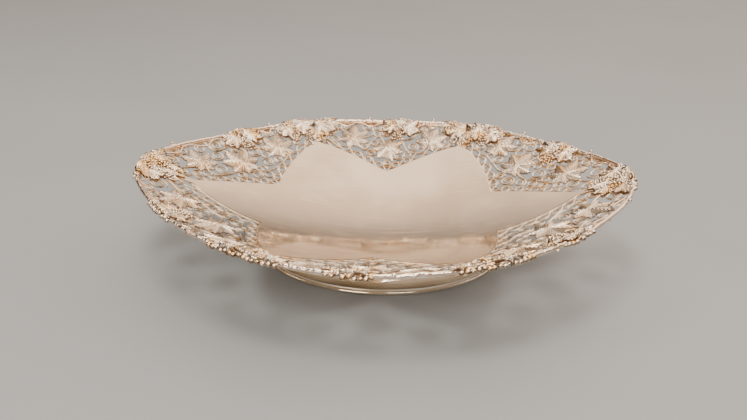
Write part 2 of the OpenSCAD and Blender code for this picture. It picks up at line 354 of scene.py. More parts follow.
polished, wire, shader = start_material("polished_silver", Metallic=1.0)
scratches = speckle(wire, 1.0, (26, 2600, 400), 2).between(0.52, 0.74)
long_marks = speckle(wire, 1.0, (9, 700, 200), 3).between(0.60, 0.70)
bloom = speckle(wire, 14, (1, 1, 1), 5)
worn_share = (bloom + 0.12 * long_marks).between(0.35, 0.72)
tone = worn_share.blend((0.64, 0.52, 0.40, 1), (0.84, 0.72, 0.58, 1))
wire.tree.links.new(tone.socket, shader.inputs["Base Color"])
roughness = 0.04 + 0.06 * scratches + 0.06 * bloom
wire.tree.links.new(roughness.socket, shader.inputs["Roughness"])
relief = scratches * -0.5 + long_marks * -0.6
bump = wire.add("ShaderNodeBump", {}, {"Height": relief, "Strength": 0.45, "Distance": 0.05 * MM})
wire.tree.links.new(bump.socket, shader.inputs["Normal"])
dish.data.materials.append(polished)
place_piece(dish, "plain_silver", "dish_well")

# ---------------------------------------------------------------------------
# The vine panels: six pierced and chased panels of silver. Each has three
# veined leaves among curling tendrils, and a looped border along its inner
# edge, and is soldered to the field's edge and to the rim.
# ---------------------------------------------------------------------------
TENDRIL_R = 0.86 * MM
STEM_R = 1.05 * MM
STRAND_LIFT = 0.1 * MM
LEAF_LOBES = (
    (0, 1.0), (50, 0.90), (-50, 0.90), (100, 0.80), (-100, 0.80), (150, 0.66), (-150, 0.66),
)
LEAF_TEETH = 34
LOBE_HALF_ANGLE = 0.42
VEIN_W, VEIN_RISE = 0.45 * MM, 0.55
FOLD_W, FOLD_DROP = 2.4 * MM, 0.16
HATCH_PITCH, HATCH_RISE = 1.3 * MM, 0.12


def turned(points, degrees):
    """Plan points turned about the origin."""
    a = math.radians(degrees)
    return np.asarray(points) @ np.array([[math.cos(a), math.sin(a)], [-math.sin(a), math.cos(a)]])


def leaf_outline(turns, length):
    """How far a lobed, toothed leaf reaches from its veins' meeting place."""
    reach = np.full(turns.shape, 0.52)
    for lobe, size in LEAF_LOBES:
        off = np.abs((turns - math.radians(lobe) + math.pi) % (2 * math.pi) - math.pi)
        reach = np.maximum(reach, size * (1 - 0.33 * (off / LOBE_HALF_ANGLE) ** 1.1))
    saw = np.abs((turns * LEAF_TEETH / (2 * math.pi)) % 1 - 0.5) * 2
    return length * reach * (0.90 + 0.14 * saw)


def vine_leaf(length, settle_on, puff=0.8, depth=0.5, rows=250, rings=20):
    """A veined leaf: its points, faces, chasing phase, and its painted shade with patina in the
    folds and at the edge, with painted light on the veins.

    settle_on lays flat points on the piece, and lifts them by a height.
    """
    turns = np.linspace(-math.pi, math.pi, rows, endpoint=False)
    reach = leaf_outline(turns, length)
    steps = np.linspace(0, 1, rings + 1)[1:]
    rho = reach[:, None] * steps[None]
    flat = np.stack([rho * np.cos(turns)[:, None], rho * np.sin(turns)[:, None]], axis=-1)
    ridge = np.zeros(rho.shape)
    nearest = np.full(rho.shape, 9.0)
    phase = np.zeros(rho.shape)
    for lobe, size in LEAF_LOBES:
        away = turned(flat, -lobe)
        along, across = away[..., 0], np.abs(away[..., 1])
        rise = np.clip(1.1 - along / (size * length), 0, 1) ** 0.5 * (along > -0.2 * MM)
        ridge = np.maximum(ridge, VEIN_RISE * np.exp(-((across / VEIN_W) ** 2)) * rise)
        closer = (across < nearest) & (along > 0)
        nearest = np.where(closer, across, nearest)
        phase = np.where(closer, (0.5 * along - across) / HATCH_PITCH, phase)
    fold = np.minimum(nearest / FOLD_W, 1)
    swell = puff * (1 - steps[None] ** 2.5) - FOLD_DROP * fold * steps[None]
    height = (0.5 + swell + ridge + HATCH_RISE * np.sin(2 * math.pi * phase)) * MM
    top = settle_on(flat, height).reshape(-1, 3)
    middle = settle_on(np.zeros((1, 2)), np.array([(0.8 + puff) * MM]))
    under = settle_on(flat[:, -1] * 0.96, np.full(len(turns), -depth * MM))
    under_middle = settle_on(np.zeros((1, 2)), np.array([-depth * MM]))
    points = np.concatenate([top, middle, under, under_middle])
    faces = grid_faces(rows, rings, closed=True)
    hub = rows * rings
    for i in range(rows):
        after = (i + 1) % rows
        faces.append((hub, i * rings, after * rings))
        last = rings - 1
        faces.append((i * rings + last, hub + 1 + i, hub + 1 + after, after * rings + last))
        faces.append((hub + 1 + rows, hub + 1 + after, hub + 1 + i))
    # Painted shade, with patina, in the folds between the veins and at the leaf's edge, and
    # painted light along the raised veins; the underside gets a fixed, slightly darker value.
    vein_light_and_fold_shade = 0.34 * fold - 1.3 * ridge + 0.5 * steps[None] ** 12
    chase = np.concatenate([phase.reshape(-1), np.zeros(rows + 2)])
    hollow = np.concatenate([vein_light_and_fold_shade.reshape(-1), np.full(rows + 2, 0.3)])
    return points, faces, chase, hollow


def leaf_bundle(name, leaves):
    """One mesh of several leaves, with their chasing and their painted fold shade with patina as
    attributes.
    """
    points, faces, chase, hollow = [], [], [], []
    for leaf_points, leaf_faces, leaf_chase, leaf_shade_and_patina in leaves:
        first = len(points)
        points.extend(leaf_points)
        chase.extend(leaf_chase)
        hollow.extend(leaf_shade_and_patina)
        faces += [tuple(first + k for k in face) for face in leaf_faces]
    return new_piece(name, points, faces, merge=False, chase=chase, hollow=hollow)


CURL_INWARDS = 0.64


def curl(centre, radius, start, turns, left=True):
    """A tendril that winds inwards from its outer turn."""
    u = np.linspace(0, 1, int(20 * turns) + 4)
    a = start + (1 if left else -1) * u * turns * 2 * math.pi
    r = radius * (1 - CURL_INWARDS * u ** 0.9)
    return np.stack([centre[0] + r * np.cos(a), centre[1] + r * np.sin(a)], axis=-1)


def ring(centre, radius):
    """A closed ring of wire."""
    a = np.linspace(0, 2 * math.pi, 19)
    return np.stack([centre[0] + radius * np.cos(a), centre[1] + radius * np.sin(a)], axis=-1)


def stem(*stops):
    """A smooth stem through its stops, in millimetres."""
    stops = np.array(stops, float) * MM
    padded = np.concatenate([[2 * stops[0] - stops[1]], stops, [2 * stops[-1] - stops[-2]]])
    points = []
    for a, b, c, d in zip(padded, padded[1:], padded[2:], padded[3:]):
        for u in np.linspace(0, 1, 9, endpoint=False):
            points.append(0.5 * (2 * b + (c - a) * u + (2 * a - 5 * b + 4 * c - d) * u ** 2
                                 + (3 * b - a - 3 * c + d) * u ** 3))
    points.append(stops[-1])
    return np.array(points)


BORDER_PITCH = 19 * MM
BORDER_W = 7.2


def looped_border(edge):
    """The border beside a stretch of the field's edge: an edge line and two crossing waves."""
    steps = np.linalg.norm(np.diff(edge, axis=0), axis=1)
    run = np.concatenate([[0], np.cumsum(steps)])
    waves = max(1, round(run[-1] / BORDER_PITCH))
    s = np.linspace(0, run[-1], waves * 16 + 1)
    along = np.stack([np.interp(s, run, edge[:, 0]), np.interp(s, run, edge[:, 1])], axis=-1)
    heading = np.gradient(along, axis=0)
    heading /= np.linalg.norm(heading, axis=1, keepdims=True)
    outward = np.stack([heading[:, 1], -heading[:, 0]], axis=-1)
    middle = BORDER_W / 2 + 0.3
    turn = (2 * math.pi * waves * s / run[-1])[:, None]
    swing = (middle - 0.7) * np.cos(turn)
    return [along + outward * place * MM for place in (0.45, middle + swing, middle - swing)]


SEARCH_STEP = 0.7
LEAST_ROOM = 2.9 * MM
LARGEST_CURL = 6.0 * MM
LEAST_CURL = 3.2 * MM


def fill_with_curls(edge, leaves, strands, seed):
    """Rings and curls for a panel's gaps, the largest first, each touching its neighbours."""
    rng = np.random.default_rng(seed)
    edge_t = rim_angle(edge)
    edge_share = share_out(edge)
    x, y = np.meshgrid(np.arange(-175, 175, SEARCH_STEP) * MM, np.arange(0, 130, SEARCH_STEP) * MM)
    spots = np.stack([x.ravel(), y.ravel()], axis=-1)
    t = rim_angle(spots)
    share = share_out(spots)
    spots = spots[(t > edge_t[0]) & (t < edge_t[-1]) & (share < 0.99)
                  & (share > np.interp(t, edge_t, edge_share))]
    rim_line = rim_plan(np.linspace(edge_t[0], edge_t[-1], 240), 0.99)
    sides = [rim_plan(edge_t[end], np.linspace(edge_share[end], 1, 30)) for end in (0, -1)]
    outlines = []
    room = np.full(len(spots), 1.0)
    for px, py, heading, length in leaves:
        turns = np.linspace(-math.pi, math.pi, 90)
        reach = leaf_outline(turns, length * MM) * 0.95
        flat = np.stack([reach * np.cos(turns), reach * np.sin(turns)], axis=-1)
        outlines.append(np.array([px, py]) * MM + turned(flat, heading))
        away = turned(spots - np.array([px, py]) * MM, -heading)
        within = leaf_outline(np.arctan2(away[:, 1], away[:, 0]), length * MM)
        room[np.hypot(away[:, 0], away[:, 1]) < within] = 0
    metal = np.concatenate([edge, rim_line, *sides, *outlines, *strands])
    for part in np.array_split(metal, 40):
        room = np.minimum(room, np.linalg.norm(spots[:, None] - part[None], axis=-1).min(axis=1))
    curls = []
    while room.max() > LEAST_ROOM:
        spot = room.argmax()
        radius = min(room[spot] - 0.4 * MM, LARGEST_CURL * rng.uniform(0.8, 1.1))
        centre = spots[spot]
        if radius > LEAST_CURL:
            start, turns = rng.uniform(0, 6.28), rng.uniform(1.35, 1.7)
            curls.append(curl(centre, radius, start, turns, rng.random() < 0.5))
        else:
            curls.append(ring(centre, radius))
        away = np.linalg.norm(spots - centre, axis=1)
        room = np.where(away < radius, 0, np.minimum(room, away - radius))
    return curls


def strand_curves(name, strands):
    """A curve object with one spline for each strand: its points and its radii."""
    curve = bpy.data.curves.new(name, "CURVE")
    curve.dimensions = "3D"
    for points, radii in strands:
        spline = curve.splines.new("POLY")
        spline.points.add(len(points) - 1)
        places = np.c_[points, np.ones(len(points))].astype(np.float32)
        spline.points.foreach_set("co", places.ravel())
        widths = np.broadcast_to(radii, len(points)).astype(np.float32)
        spline.points.foreach_set("radius", widths.copy())
    return stand_up(name, curve)


# The tree that makes a piece's strands into wire or flat strips, plants its
# grapes, and stores how level each face lies. From this the material paints
# light on level faces and shade, with patina, on steep sides.
ornament_tree = bpy.data.node_groups.new("ornament", "GeometryNodeTree")
ornament_tree.interface.new_socket("Geometry", in_out="INPUT", socket_type="NodeSocketGeometry")
for label, kind in (
    ("Strands", "Object"), ("Strand sides", "Int"), ("Strand height", "Float"),
    ("Grapes", "Object"), ("Grape radius", "Float"), ("Material", "Material"),
):
    ornament_tree.interface.new_socket(label, in_out="INPUT", socket_type="NodeSocket" + kind)
ornament_tree.interface.new_socket("Geometry", in_out="OUTPUT", socket_type="NodeSocketGeometry")
entry = ornament_tree.nodes.new("NodeGroupInput")
ins = {socket.name: Wire(ornament_tree, socket) for socket in entry.outputs if socket.name}
lines = ins["Strands"].add("GeometryNodeObjectInfo", {}, {0: ins["Strands"]}, output=4)
level = lines.add("GeometryNodeSetCurveNormal", {"mode": "Z_UP"}, {"Curve": lines})
circle = lines.add(
    "GeometryNodeCurvePrimitiveCircle", {}, {"Resolution": ins["Strand sides"], "Radius": 1.0}
)
flat_up = lines.add(
    "ShaderNodeCombineXYZ", {}, {"Z": lines.maths("DIVIDE", math.pi, ins["Strand sides"])}
)
squash = lines.add("ShaderNodeCombineXYZ", {}, {"X": ins["Strand height"], "Y": 1.0, "Z": 1.0})
upright = circle.add("GeometryNodeTransform", {}, {"Geometry": circle, "Rotation": flat_up})
section = circle.add("GeometryNodeTransform", {}, {"Geometry": upright, "Scale": squash})
thickness = lines.add("GeometryNodeInputRadius")
tubes = level.add(
    "GeometryNodeCurveToMesh", {},
    {"Curve": level, "Profile Curve": section, "Scale": thickness, "Fill Caps": True},
)
spots = tubes.add("GeometryNodeObjectInfo", {}, {0: ins["Grapes"]}, output=4)
grape = spots.add(
    "GeometryNodeMeshIcoSphere", {}, {"Radius": ins["Grape radius"], "Subdivisions": 2}
)
swell = spots.add(
    "FunctionNodeRandomValue", {"data_type": "FLOAT"}, {2: 0.84, 3: 1.16, 8: 5}, output=1
)
grape_size = spots.add(
    "GeometryNodeInputNamedAttribute", {"data_type": "FLOAT"}, {"Name": "size"}
)
bunch = spots.add(
    "GeometryNodeInstanceOnPoints", {},
    {"Points": spots, "Instance": grape, "Scale": swell * grape_size},
)
joined = ornament_tree.nodes.new("GeometryNodeJoinGeometry")
for part in (ins["Geometry"], tubes, bunch):
    ornament_tree.links.new(part.socket, joined.inputs[0])
everything = Wire(ornament_tree, joined.outputs[0])
solid = bunch.add("GeometryNodeRealizeInstances", {}, {"Geometry": everything})
# How level each point lies, stored as tone: the materials paint light on level faces and shade on
# steep sides from it.
normal = solid.add("GeometryNodeInputNormal")
facing = solid.add("ShaderNodeSeparateXYZ", {}, {"Vector": normal}, output=2)
toned = solid.add(
    "GeometryNodeStoreNamedAttribute",
    {"data_type": "FLOAT", "domain": "POINT"},
    {"Geometry": solid, "Name": "tone", "Value": facing.maths("ABSOLUTE", facing)},
)
finished = toned.add(
    "GeometryNodeSetMaterial", {}, {"Geometry": toned, "Material": ins["Material"]}
)
ornament_tree.links.new(finished.socket, ornament_tree.nodes.new("NodeGroupOutput").inputs[0])


def dress(piece, values):
    """Runs the ornament tree on a piece and keeps the result as its mesh."""
    modifier = piece.modifiers.new("ornament", "NODES")
    modifier.node_group = ornament_tree
    for item in ornament_tree.interface.items_tree:
        if item.in_out == "INPUT" and item.name in values:
            modifier[item.identifier] = values[item.name]
    settle(piece, sharp=55)
    for value in values.values():
        if isinstance(value, bpy.types.Object):
            bpy.data.objects.remove(value)


def shaded_patinated_silver(name, bright, gold, patina_and_shade_colour, spread, shine):
    """Silver with painted light where it lies level, golden in places, and brown on steep sides
    and in its hollows, partly patina and partly painted shade.
    """
    material, wire, shader = start_material(name, Metallic=1.0)
    painted_level_light = wire.add("ShaderNodeAttribute", {"attribute_name": "tone"}, output=2)
    phase = wire.add("ShaderNodeAttribute", {"attribute_name": "chase"}, output=2)
    hollow = wire.add("ShaderNodeAttribute", {"attribute_name": "hollow"}, output=2)
    chased = wire.maths("SINE", phase * (2 * math.pi))
    stain = speckle(wire, spread, (1, 1, 1), 4)
    # Painted light on level faces and painted shade on steep sides, from the tone; patina in
    # random stains; the chased lines; painted shade with patina in the leaves' folds.
    patina_and_painted_shade = (0.8 * painted_level_light + 1.3 * stain + 0.25 * chased - 0.95 * hollow).between(0.50, 1.32)
    warm = speckle(wire, spread * 0.4, (1, 1, 1), 3).between(0.42, 0.68)
    top = warm.blend(bright, gold)
    wire.tree.links.new(patina_and_painted_shade.blend(patina_and_shade_colour, top).socket, shader.inputs["Base Color"])
    roughness = shine + 0.22 - 0.20 * patina_and_painted_shade + 0.08 * stain
    wire.tree.links.new(roughness.socket, shader.inputs["Roughness"])
    grain = speckle(wire, 900, (1, 1, 1), 2)
    bump = wire.add(
        "ShaderNodeBump", {},
        {"Height": 0.5 * chased + 0.25 * grain, "Strength": 0.7, "Distance": 0.30 * MM},
    )
    wire.tree.links.new(bump.socket, shader.inputs["Normal"])
    return material


# The last, brown colour is patina together with the painted shade on steep sides and in the
# leaves' folds.
chased_silver = shaded_patinated_silver(
    "chased_silver", (0.97, 0.84, 0.69, 1), (0.90, 0.67, 0.43, 1), (0.17, 0.095, 0.05, 1),
    spread=150, shine=0.14,
)

# A leaf is given by its place in plan, its heading in degrees and its length, and
# a stem by the plan places it runs through, all in millimetres.
centre_leaves = ((-30, 104, 92, 16.5), (-1, 97, -72, 17), (35, 102, 68, 17))
centre_stems = (
    stem((-63, 95), (-52, 99), (-42, 93), (-34, 90), (-30, 104)),
    stem((-30, 104), (-20, 93), (-14, 104), (-8, 109), (-1, 96)),
    stem((-1, 96), (10, 104), (16, 93), (26, 90), (35, 102)),
    stem((35, 102), (45, 93), (54, 99), (63, 95)),
    stem((-16, 121), (-14, 112), (-22, 106)),
    stem((20, 121), (22, 110), (13, 106), (8, 114)),
)
side_leaves = ((90, 84, 36, 17), (102, 57, 47, 18.5), (134, 31, 52, 18))
side_stems = (
    stem((66, 95), (74, 84), (80, 78), (90, 84)),
    stem((80, 78), (85, 66), (90, 56), (101, 57)),
    stem((101, 57), (104, 42), (114, 34), (126, 24), (133, 30)),
    stem((133, 30), (142, 18), (156, 6)),
    stem((90, 84), (104, 76), (112, 84), (110, 94)),
    stem((101, 57), (118, 62), (124, 72)),
    stem((118, 62), (122, 48), (132, 52), (143, 62)),
)
other_leaves = ((90, 76, 78, 18), (111, 46, 25, 19), (139, 29, 45, 17))
other_stems = (
    stem((66, 95), (70, 84), (80, 72), (90, 76)),
    stem((80, 72), (84, 58), (94, 44), (110, 46)),
    stem((110, 46), (114, 32), (126, 20), (138, 29)),
    stem((138, 29), (146, 16), (156, 6)),
    stem((90, 76), (104, 70), (112, 78), (108, 94)),
    stem((110, 46), (112, 60), (124, 64), (130, 74)),
    stem((124, 64), (134, 50), (146, 56)),
)
centre_parts = (centre_edge[:EDGE_STEPS], centre_edge[EDGE_STEPS - 1:])
side_parts = (diagonal_edge[:EDGE_STEPS], diagonal_edge[EDGE_STEPS - 1:])


def design_panel(edges, leaves, stems, seed):
    """A panel's leaves and plan strands, drawn where the panel stands at the back."""
    border = [strand for edge in edges for strand in looped_border(edge)]
    whole_edge = np.concatenate([edges[0][:-1], edges[1]])
    curls = fill_with_curls(whole_edge, leaves, border + list(stems), seed)
    t = rim_angle(whole_edge)
    shares = share_out(whole_edge)
    frame_lines = [rim_plan(np.linspace(t[0], t[-1], 80), s) for s in (0.988, 0.997)]
    for end in (0, -1):
        frame_lines.append(rim_plan(np.full(14, t[end]), np.linspace(shares[end], 1, 14)))
    strands = [(line, TENDRIL_R) for line in border + curls + frame_lines]
    strands += [(line, STEM_R) for line in stems]
    return leaves, strands


centre_design = design_panel(centre_parts, centre_leaves, centre_stems, 3)
side_design = design_panel(side_parts, side_leaves, side_stems, 4)
other_design = design_panel(side_parts, other_leaves, other_stems, 5)

for side, flip, (leaves, strands) in (
    ("back", (1, 1), centre_design), ("front", (-1, -1), centre_design),
    ("back_right", (1, 1), side_design), ("front_left", (-1, -1), side_design),
    ("back_left", (-1, 1), other_design), ("front_right", (1, -1), other_design),
):
    flip = np.array(flip)
    cut = []
    for x, y, heading, length in leaves:
        root = np.array([x, y]) * MM

        def lay_leaf(flat, height):
            return on_dish((root + turned(flat, heading)) * flip, height)

        cut.append(vine_leaf(length * MM, lay_leaf))
    panel = leaf_bundle("panel_" + side, cut)
    lines = strand_curves("lines", [
        (on_dish(plan * flip, np.full(len(plan), STRAND_LIFT)), radius) for plan, radius in strands
    ])
    dress(panel, {
        "Strands": lines, "Strand sides": 4, "Strand height": 0.8, "Material": chased_silver,
    })
    place_piece(panel, "pierced_silver", "vine_panel_" + side)

# ---------------------------------------------------------------------------
# The rim: a branch of round silver wire on the sheet's edge, with small buds
# and a thin tendril beside it, in twelve lengths between the castings.
# ---------------------------------------------------------------------------
WIRE_R = 1.4 * MM
WIRE_LIFT = 1.5 * MM
WANDER = 0.35 * MM
RIM_TENDRIL_R, RIM_TENDRIL_LIFT = 0.7 * MM, 0.9 * MM
END_T, SIDE_T, OTHER_SIDE_T = 0.0, math.radians(33), math.radians(41)
MIDDLE_T, OTHER_MIDDLE_T = math.radians(87), math.radians(93)
TURN_STEP = 0.002
BRANCH_STEPS = 72


def rim_pace(t):
    """How far the rim runs for each radian at the angle t."""
    return np.linalg.norm(rim_plan(t + TURN_STEP) - rim_plan(t - TURN_STEP)) / (2 * TURN_STEP)


# The last colour is patina together with the painted shade on the wire's steep sides.
branch_metal = shaded_patinated_silver(
    "branch_metal", (0.96, 0.84, 0.71, 1), (0.92, 0.73, 0.57, 1), (0.78, 0.55, 0.42, 1),
    spread=220, shine=0.10,
)


def span(t_a, reach_a, t_b, reach_b):
    """The angles between two castings, each reaching so far along the rim."""
    return t_a + reach_a * MM / rim_pace(t_a), t_b - reach_b * MM / rim_pace(t_b)


wire_rng = np.random.default_rng(11)
END_REACH, SIDE_REACH, CORNER_REACH, MIDDLE_REACH = 21, 13, 23, 13
# Each length runs between two castings, given by their angles and by how far they
# reach along the rim: first on the back right, then on the back left.
quarter_lengths = (
    ("end", (END_T, END_REACH, SIDE_T, SIDE_REACH),
     (END_T, END_REACH, OTHER_SIDE_T, SIDE_REACH)),
    ("side", (SIDE_T, SIDE_REACH, peak_t, CORNER_REACH),
     (OTHER_SIDE_T, SIDE_REACH, peak_t, CORNER_REACH)),
    ("middle", (peak_t, CORNER_REACH, MIDDLE_T, MIDDLE_REACH),
     (peak_t, CORNER_REACH, OTHER_MIDDLE_T, MIDDLE_REACH)),
)
for corner, flip, other in (
    ("back_right", (1, 1), False), ("front_left", (-1, -1), False),
    ("back_left", (-1, 1), True), ("front_right", (1, -1), True),
):
    flip = np.array([*flip, 1])
    for length_name, own_span, other_span in quarter_lengths:
        t_a, t_b = span(*(other_span if other else own_span))
        t = np.linspace(t_a - 0.02, t_b + 0.02, BRANCH_STEPS)
        wander = np.convolve(wire_rng.normal(0, 1, BRANCH_STEPS + 4), np.ones(5) / 5, "valid")
        branch = np.c_[rim_plan(t), dish_height(rim_plan(t)) + WIRE_LIFT]
        branch += np.stack([wander, np.roll(wander, 9), wander[::-1]], axis=-1) * WANDER
        strands = [(branch * flip, WIRE_R * (1 + 0.12 * wander))]
        knot = branch[int(wire_rng.uniform(0.2, 0.8) * (BRANCH_STEPS - 1))]
        away = knot / np.linalg.norm(knot * [1, 1, 0]) * [1, 1, 0]
        u = np.linspace(0, 1, 9)
        spur = knot + u[:, None] * (away * 1.2 + [0, 0, 1.2]) * 2.3 * MM
        bud = 1.15 - 0.3 * u + 0.6 * np.exp(-(((u - 0.8) / 0.18) ** 2))
        strands.append((spur * flip, bud * MM))
        swing = np.linspace(0, 5 * math.pi, BRANCH_STEPS) + wire_rng.uniform(0, 6)
        inner = rim_plan(t, 1 - (3.0 + 2.2 * np.sin(swing)) * MM / (130 * MM))
        tendril = on_dish(inner, np.full(BRANCH_STEPS, RIM_TENDRIL_LIFT)) * flip
        strands.append((tendril, RIM_TENDRIL_R))
        whole_name = corner + "_" + length_name
        branch_piece = stand_up("rim_" + whole_name, bpy.data.meshes.new("branch"))
        dress(branch_piece, {
            "Strands": strand_curves("branch_lines", strands),
            "Strand sides": 10, "Strand height": 1.0, "Material": branch_metal,
        })
        place_piece(branch_piece, "wire_silver", "rim_wire_" + whole_name)

# ---------------------------------------------------------------------------
# The castings: twelve groups of grapes, curled leaves and tendrils, each cast
# in silver in one piece and soldered over the rim.
# ---------------------------------------------------------------------------
GRAPE_R = 1.15 * MM
GRAPE_PITCH = 2.1
BEAD_PITCH = 3.2
BEAD_SIZE = 1.4
BERRY_PITCH = 2.3
TWIG_STEPS = 40
TWIG_R = 1.35 * MM
SADDLE_RISE, SADDLE_W = 1.6 * MM, 3.5 * MM

# The last, brown colour is patina together with the painted shade on steep sides and in the
# leaves' folds.
cast_metal = shaded_patinated_silver(
    "cast_metal", (0.98, 0.85, 0.69, 1), (0.92, 0.62, 0.30, 1), (0.18, 0.09, 0.04, 1),
    spread=220, shine=0.08,
)


def rim_place(t, u, v):
    """Plan places u along the rim from the angle t, and v inwards from the rim."""
    here = t + np.asarray(u) / rim_pace(t)
    ahead = rim_plan(here + TURN_STEP) - rim_plan(here - TURN_STEP)
    ahead /= np.linalg.norm(ahead, axis=-1, keepdims=True)
    inward = np.stack([-ahead[..., 1], ahead[..., 0]], axis=-1)
    return rim_plan(here), inward * np.asarray(v)[..., None]


def on_rim(t, u, v, lift):
    """Points on the rim's saddle: level with the sheet inside it, falling outside it."""
    edge, inward = rim_place(t, u, v)
    inside = edge + np.where((np.asarray(v) > 0)[..., None], inward, 0)
    v = np.asarray(v)
    saddle = SADDLE_RISE * np.exp(-((v / SADDLE_W) ** 2)) + np.minimum(v, 0) * 0.5
    height = dish_height(inside) + saddle + lift
    return np.concatenate([edge + inward, height[..., None]], axis=-1)


def grape_heap(u, v, heading, length, width, rng):
    """Places for a teardrop heap of grapes: three layers, in the rim's own u, v and lift."""
    places = []
    for layer, (shrink, lift) in enumerate(((1.0, 0.7), (0.72, 2.3), (0.38, 3.6))):
        for row in range(-9, 10):
            for column in range(-7, 8):
                along = row * GRAPE_PITCH * 0.87 + 0.5 * layer
                across = (column + 0.5 * (row % 2)) * GRAPE_PITCH
                taper = 0.55 + 0.45 * math.cos(min(1.0, max(-1.0, along / length)) * 1.4)
                if abs(along) > length * shrink / 2 or abs(across) > width * shrink * taper / 2:
                    continue
                jitter = rng.normal(0, 0.22, 3)
                spot = turned([along + jitter[0], across + jitter[1]], heading)
                places.append((u + spot[0], v + spot[1], lift + jitter[2]))
    return places


def make_casting(name, slot_node, t, flip, leaves, heaps, curls, half_length, seed):
    """One casting about the rim's angle t, drawn at the back right and flipped to its place."""
    rng = np.random.default_rng(seed)
    flip = np.array([*flip, 1])
    cast_leaves = []
    for u, v, heading, length, lift in leaves:
        root = np.array([u, v]) * MM
        wave = rng.uniform(0, 6)

        def drape(flat, height):
            """Lays a leaf over the rim, its tips drawn in from the outside and ruffled."""
            spot = root + turned(flat, heading)
            over = np.minimum(spot[..., 1] + 0.5 * MM, 0)
            spot[..., 1] -= 0.75 * over
            ruffle = 0.9 * MM * np.sin(np.arctan2(flat[..., 1], flat[..., 0]) * 3 + wave)
            ruffle = ruffle * np.linalg.norm(flat, axis=-1) / (length * MM)
            return on_rim(t, spot[..., 0], spot[..., 1], height + lift * MM + ruffle) * flip

        cast_leaves.append(vine_leaf(length * MM, drape, puff=1.3, depth=1.6, rows=150, rings=12))
    grapes = [place for heap in heaps for place in grape_heap(*heap, rng)]
    # The beads stand in a row along the outer edge, and the small grapes on the twig.
    beads = [(u + rng.normal(0, 0.3), -1.5 + rng.normal(0, 0.25), 0.5 + rng.normal(0, 0.3))
             for u in np.arange(-half_length, half_length + 0.1, BEAD_PITCH)]
    small = [(u + rng.normal(0, 0.4), 1.6 + rng.normal(0, 0.9), 2.2 + rng.normal(0, 0.4))
             for u in np.arange(-half_length + 1, half_length, BERRY_PITCH)]
    sizes = [1.0] * len(grapes + small) + [BEAD_SIZE] * len(beads)
    grapes = np.array(grapes + small + beads)
    grape_u, grape_v, grape_lift = (grapes * MM).T
    bunch_mesh = bpy.data.meshes.new("bunch")
    bunch_mesh.from_pydata(on_rim(t, grape_u, grape_v, grape_lift) * flip, [], [])
    bunch_mesh.attributes.new("size", "FLOAT", "POINT").data.foreach_set("value", sizes)
    bunch_places = stand_up("bunch", bunch_mesh)
    run = np.linspace(-half_length, half_length, TWIG_STEPS)
    knots = 1 + 0.18 * np.sin(run * 0.9 + seed) + 0.10 * np.sin(run * 2.3)
    twig = on_rim(t, run * MM, 0.4 * MM * np.sin(run * 0.35), np.full(TWIG_STEPS, 0.4 * MM)) * flip
    strands = [(twig, TWIG_R * knots)]
    for u, v, radius, start, left in curls:
        plan = curl((u, v), radius, math.radians(start), 1.5, left)
        rise = np.linspace(1.2, 2.6, len(plan)) * MM
        strands.append((on_rim(t, plan[:, 0] * MM, plan[:, 1] * MM, rise) * flip,
                        np.linspace(0.65, 0.45, len(plan)) * MM))
    casting = leaf_bundle(name, cast_leaves)
    dress(casting, {
        "Strands": strand_curves("casting_lines", strands),
        "Strand sides": 10, "Strand height": 1.0,
        "Grapes": bunch_places, "Grape radius": GRAPE_R, "Material": cast_metal,
    })
    place_piece(casting, "cast_silver", slot_node)


# A leaf is given by its place along the rim and in from it, its heading, length and
# lift; a heap by its place, heading, length and width; and a curl by its place,
# radius, starting angle and hand.
corner_leaves = (
    (-16, 6, 195, 13, 1.2), (13, 6, 15, 13, 1.4), (-3, 4, 100, 12, 2.2), (20, 2, -30, 9, 1.0),
    (-9, 0, 230, 9, 1.4), (6, 13, 60, 10, 1.0),
)
corner_heaps = ((2, 13, 70, 20, 12), (-11, 10, 110, 15, 9))
corner_curls = ((24, 5, 4.0, 180, True), (-24, 6, 4.2, 0, False), (14, 17, 3.8, 270, True))
small_leaves = ((-7, 6, 160, 12, 1.2), (7, 5, 25, 11, 1.5), (0, 1, 280, 8, 1.6))
small_heaps = ((1, 11, 85, 18, 10),)
small_curls = ((12, 7, 3.8, 180, True), (-12, 10, 4.0, 0, False))
end_leaves = (
    (-14, 6, 200, 12, 1.3), (13, 7, -10, 12, 1.3), (1, 17, 90, 12, 1.0), (-2, 3, 170, 10, 2.0),
    (8, 0, 300, 9, 1.4), (-11, 17, 120, 10, 0.8),
)
end_heaps = ((-7, 12, 110, 18, 10), (8, 15, 70, 19, 10), (0, 5, 0, 18, 9))
end_curls = ((19, 11, 4.0, 180, True), (-19, 11, 4.0, 0, False), (12, 23, 3.8, 250, True))
quarters = (
    ("back_right", (1, 1), SIDE_T, 21), ("front_left", (-1, -1), SIDE_T, 22),
    ("back_left", (-1, 1), OTHER_SIDE_T, 23), ("front_right", (1, -1), OTHER_SIDE_T, 24),
)
for corner, flip, side_t, seed in quarters:
    make_casting("corner_" + corner, "grapes_" + corner + "_corner", peak_t, flip,
                 corner_leaves, corner_heaps, corner_curls, 23, seed)
    make_casting("side_" + corner, "grapes_" + corner + "_side", side_t, flip,
                 small_leaves, small_heaps, small_curls, 13, seed + 10)
make_casting("centre_back", "grapes_back_centre", MIDDLE_T, (1, 1),
             small_leaves, small_heaps, small_curls, 13, 41)
make_casting("centre_front", "grapes_front_centre", MIDDLE_T, (-1, -1),
             small_leaves, small_heaps, small_curls, 13, 42)
make_casting("end_right", "grapes_right_end", END_T, (1, 1),
             end_leaves, end_heaps, end_curls, 21, 43)
make_casting("end_left", "grapes_left_end", END_T, (-1, -1),
             end_leaves, end_heaps, end_curls, 21, 44)

